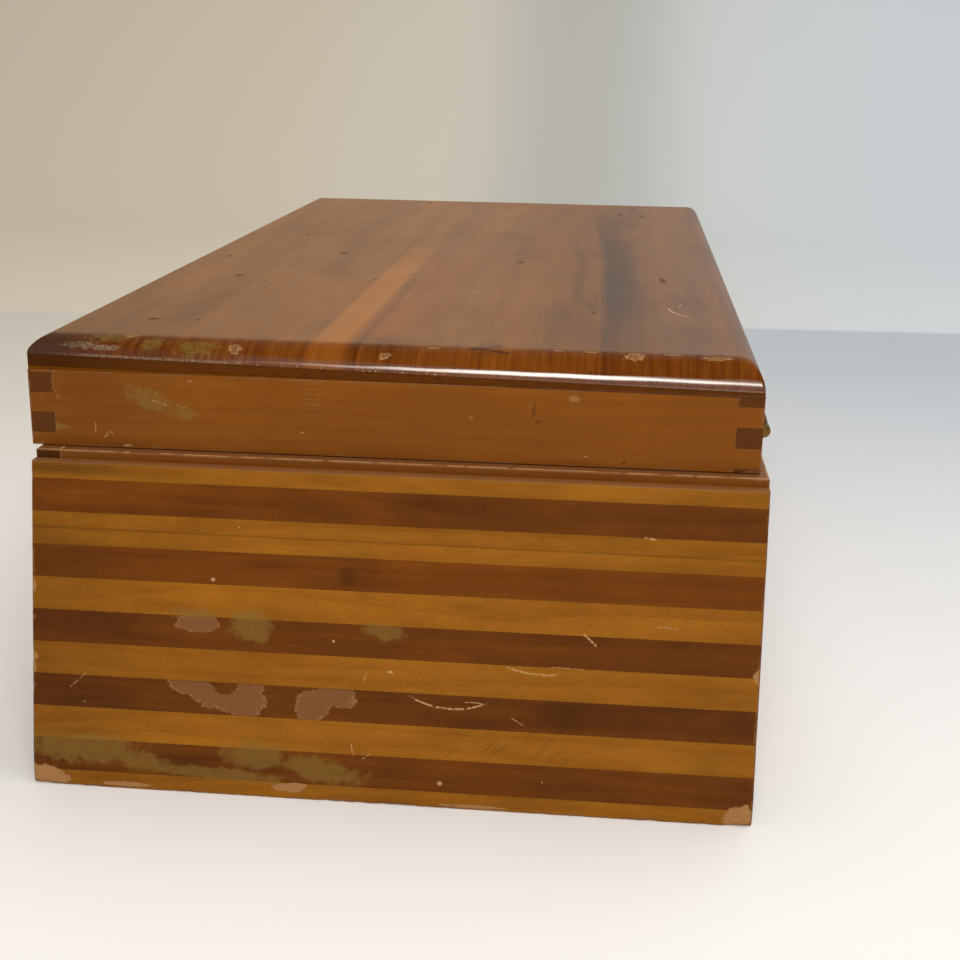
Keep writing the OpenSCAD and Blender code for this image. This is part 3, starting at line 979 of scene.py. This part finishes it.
def top_crust(g, u, near, lip, sheet, grit, colour):
    """Green and chalky crust and grime at the near left corner, and painted glints along the lip: pale
    specks standing for a broken highlight.
    """
    green = sheet.patches(CRUST_GREEN, 2.4, 0.5) * near
    moss = g.mix(grit, srgb("#5E4A18"), srgb("#8A7536"))
    colour = g.mix(green * grit.rise(0.30, 0.66) * 0.75, colour, moss)
    foot = lip.abs().fall(0.5, 1.1) * u.fall(62, 72) * u.rise(4, 20) * near
    grey = sheet.patches(CRUST_GREY, 2.2, 0.35).high(foot) * near
    chalk = g.mix(grit, srgb("#58463A"), srgb("#B09A7C"))
    colour = g.mix(grey * grit.rise(0.36, 0.60) * 0.7, colour, chalk)
    corner = u.fall(6, 26) * near
    colour = g.mix(corner * 0.6, colour, srgb("#34241A"))
    # Painted highlight: pale specks along the lip where the varnish's highlight breaks up.
    painted_glints = dots(g, u, g.z, 1.3, 0.7, 2.0) * lip.abs().fall(0.4, 0.9)
    painted_glints = painted_glints * (u - 100).abs().fall(34, 50) * near
    return g.mix(painted_glints * 0.6, colour, PALE)


def top_sides(g, u, lip, tone, fine, colour):
    """The upright band below the rounding and the bare underside, and where each of them lies."""
    wood_band = g.mix(lip.abs().fall(0.15, 0.5) * 0.25, band_colour(g), GRIME)
    wood_band = g.mix(u.fall(8, 46) * 0.5, wood_band, GRIME)
    below = under_top(g, g.shade(g.mix(tone, *RAIL), 0.6), fine, wood_band)
    band = g.nz.abs().fall(0.12, 0.30) * lip.rise(-0.25, 0.05)
    colour = g.mix(band, colour, below)
    under = (g.nz * -1).rise(0.6, 0.9)
    return g.mix(under, colour, g.mix(tone, RAW, BARE)), band, under


def top_material():
    """The top board: glossy varnish over streaked wood, stained and crusted at its near left corner."""
    g = Graph("top_varnish")
    u, v = g.x - top_low.x, g.y - top_low.y
    sheet = Sheet(g, u, v, 2.4)
    near = v.fall(9, 16)
    # How far a point lies below the foot of the rounding.
    lip = top_high.z - g.z - (ROUND_LEFT + (ROUND_RIGHT - ROUND_LEFT) / width * u)
    grit = g.noise(g.vector(u / 0.8, v / 0.8, g.z / 0.8), 4.0, 0.75)
    brushed = g.noise(g.vector(u / 0.42, v / 2.0, g.z / 2.4), 3.0, 0.7)
    colour, tone, fine = top_figure(g, u, v, near, sheet)
    colour, dull = top_wear(g, u, v, sheet, colour)
    colour = top_crust(g, u, near, lip, sheet, grit, colour)
    colour, band, under = top_sides(g, u, lip, tone, fine, colour)
    crust = u.fall(60, 74).high(u.fall(95, 160) * lip.abs().fall(1.6, 2.6) * 0.6) * near
    height = fine * 0.06 + crust * grit * 1.6 + brushed * near * 0.30
    rough = 0.31 + (g.noise(g.vector(u / 16, v / 30, 9.0), 3.0) - 0.5) * 0.08
    rough = rough + dull + crust * 0.3 + band * 0.25 + under * 0.4
    ridge = lip.rise(-3.2, -2.2) * near
    rough = (rough * (1 - near * 0.74)).high(ridge * (0.10 + brushed * 0.14))
    coat = (0.74 - near * 0.54 + ridge * 0.8).low(1 - band).low(1 - under).low(1 - crust * 0.6)
    return g.finish(
        colour, 0.6, height,
        specular=0.0, coat=coat, coat_rough=rough.high(0.05), coat_ior=ridge * 0.7 + 1.5,
    )


def brass_material(name, seed):
    """Old brass, tarnished brown with the high places rubbed bright."""
    g = Graph(name)
    place = g.vector(g.x / 5 + seed, g.y / 5, g.z / 5)
    cloud = g.noise(place, 4.0, 0.65)
    fine = g.noise(g.vector(g.x / 0.25, g.y / 0.8, g.z / 0.8), 3.0, 0.7)
    colour = g.mix(cloud.rise(0.3, 0.7), srgb("#96743A"), srgb("#54401F"))
    colour = g.mix(dots(g, g.y, g.z, 2.6, 0.8, seed) * 0.5, colour, srgb("#2A1E10"))
    rough = 0.26 + cloud * 0.3 + (fine - 0.5) * 0.2
    return g.finish(colour, rough, cloud * 0.3 + fine * 0.12, 0.03, metallic=0.92)


# ---------------------------------------------------------------- the chest

for panel, marks in ((near_panel, Marks()), (far_panel, Marks(seed=11))):
    for i in range(STRIPS):
        strip_piece(panel, i, strip_material(panel, i, marks))
top_piece(top_material())


def finish_board(node, along, tones, seed, bevel, **settings):
    """Paints a CAD board and rounds its edges a little."""
    paint(node, board_material(node, along, tones, seed, node_box(node), **settings))
    soften(node, bevel)


finish_board("case_side_left", "y", CASE, 10, 0.5, rim=True, inward=("x", 1))
finish_board("case_side_right", "y", CASE, 11, 0.5, rim=True, inward=("x", -1))
finish_board("case_end_near", "x", CASE, 12, 0.5, rim=True, inward=("y", 1))
finish_board("case_end_far", "x", CASE, 13, 0.5, rim=True, inward=("y", -1))
finish_board("lid_side_left", "y", RAIL, 20, 0.15, inward=("x", 1), joint=True)
finish_board("lid_side_right", "y", RAIL, 21, 0.15, inward=("x", -1), joint=True)
finish_board("lid_end_near", "x", RAIL, 22, 0.15, inward=("y", 1), near_rail=True, joint=True)
finish_board("lid_end_far", "x", RAIL, 23, 0.15, inward=("y", -1), joint=True)
finish_board("wedge_near", "x", CASE, 30, 0.2)
finish_board("wedge_far", "x", CASE, 31, 0.2)
finish_board("case_bottom", "y", CASE, 32, 0.2, raw=True)
for n, node in enumerate(sorted(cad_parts)):
    if node.startswith(("hinge", "latch")):
        paint(node, brass_material(node, n * 1.7))


# ---------------------------------------------------------------- floor, light and camera

def studio_floor():
    """A pale sweep, in metres: floor, cove and wall in one sheet."""
    front, cove, radius, height, half = -3.2, 1.15, 0.5, 2.6, 3.6
    section = [(front, 0.0), (-1.0, 0.0), (cove, 0.0)]
    for turn in np.linspace(0, 90, 17)[1:]:
        a = math.radians(turn)
        section.append((cove + radius * math.sin(a), radius * (1 - math.cos(a))))
    section.append((cove + radius, height))
    verts = [Vector((x, y, z)) for x in (-half, half) for y, z in section]
    count = len(section)
    faces = [(i, i + count, i + 1 + count, i + 1) for i in range(count - 1)]
    mesh = bpy.data.meshes.new("studio_floor")
    mesh.from_pydata(verts, [], faces)
    mesh.shade_smooth()
    floor = bpy.data.objects.new("studio_floor", mesh)
    bpy.context.scene.collection.objects.link(floor)
    g = Graph("studio_floor")
    cloud = g.noise(g.vector(g.x / 300, g.y / 300, g.z / 300), 2.0)
    ground = g.mix(cloud, srgb("#F6F4F1"), srgb("#F9F7F5"))
    wall = g.mix(g.x.rise(-500, 500), srgb("#D9CFBC"), srgb("#D3DADE"))
    # Painted shade: the floor darkens and greys towards the back, most on the right.
    back = g.mix(g.x.rise(-300, 300), srgb("#D0CABE"), srgb("#B9C0C8"))
    ground = g.mix(g.y.rise(-420, 560), ground, back)
    away = (g.y - g.x * 0.045).rise(570, 587)
    # A soft upright band of painted shade down the middle of the wall.
    painted_wall_shade = (g.x - 10).abs().fall(20, 200) * 0.2
    mesh.materials.append(g.finish(g.mix(away, ground, g.shade(wall, 1 - painted_wall_shade)), 0.7))


def area_light(name, place, target, size, power, colour, mirrored=True):
    """A soft light aimed at a target, in metres. One that isn't mirrored leaves no highlight."""
    data = bpy.data.lights.new(name, "AREA")
    data.shape = "RECTANGLE"
    data.size, data.size_y = size
    data.energy = power
    data.color = colour
    lamp = bpy.data.objects.new(name, data)
    lamp.location = Vector(place)
    lamp.rotation_euler = (Vector(target) - Vector(place)).to_track_quat("-Z", "Y").to_euler()
    lamp.visible_glossy = mirrored
    bpy.context.scene.collection.objects.link(lamp)


def world_light(colour, strength):
    """Even light from all around."""
    world = bpy.data.worlds.new("studio")
    world.use_nodes = True
    background = world.node_tree.nodes["Background"]
    background.inputs["Color"].default_value = colour
    background.inputs["Strength"].default_value = strength
    bpy.context.scene.world = world


def camera():
    """The photograph's view: from in front of the near end, above and a little right of the middle."""
    yaw, pitch, roll = 5.32, 16.79, 0.89
    data = bpy.data.cameras.new("camera")
    data.sensor_width = 36.0
    data.lens = 54.4
    data.clip_start = 0.01
    eye = bpy.data.objects.new("camera", data)
    place = Vector((0.0661, -0.6516, 0.2303))
    turn = (
        Matrix.Rotation(math.radians(yaw), 4, "Z")
        @ Matrix.Rotation(math.radians(90 - pitch), 4, "X")
        @ Matrix.Rotation(math.radians(roll), 4, "Z")
    )
    eye.matrix_world = Matrix.Translation(place) @ turn
    bpy.context.scene.collection.objects.link(eye)
    bpy.context.scene.camera = eye


studio_floor()
area_light("window", (0.35, -2.03, 1.56), (0.03, -0.2, 0.08), (1.5, 0.9), 34, (1.0, 0.96, 0.89))
area_light("ceiling", (0.5, 0.2, 2.2), (0.0, 0.0, 0.0), (2.6, 2.6), 38, (1.0, 0.99, 0.97), mirrored=False)
world_light((0.95, 0.96, 1.0, 1.0), 0.20)
camera()
bpy.context.scene.view_settings.view_transform = "Standard"
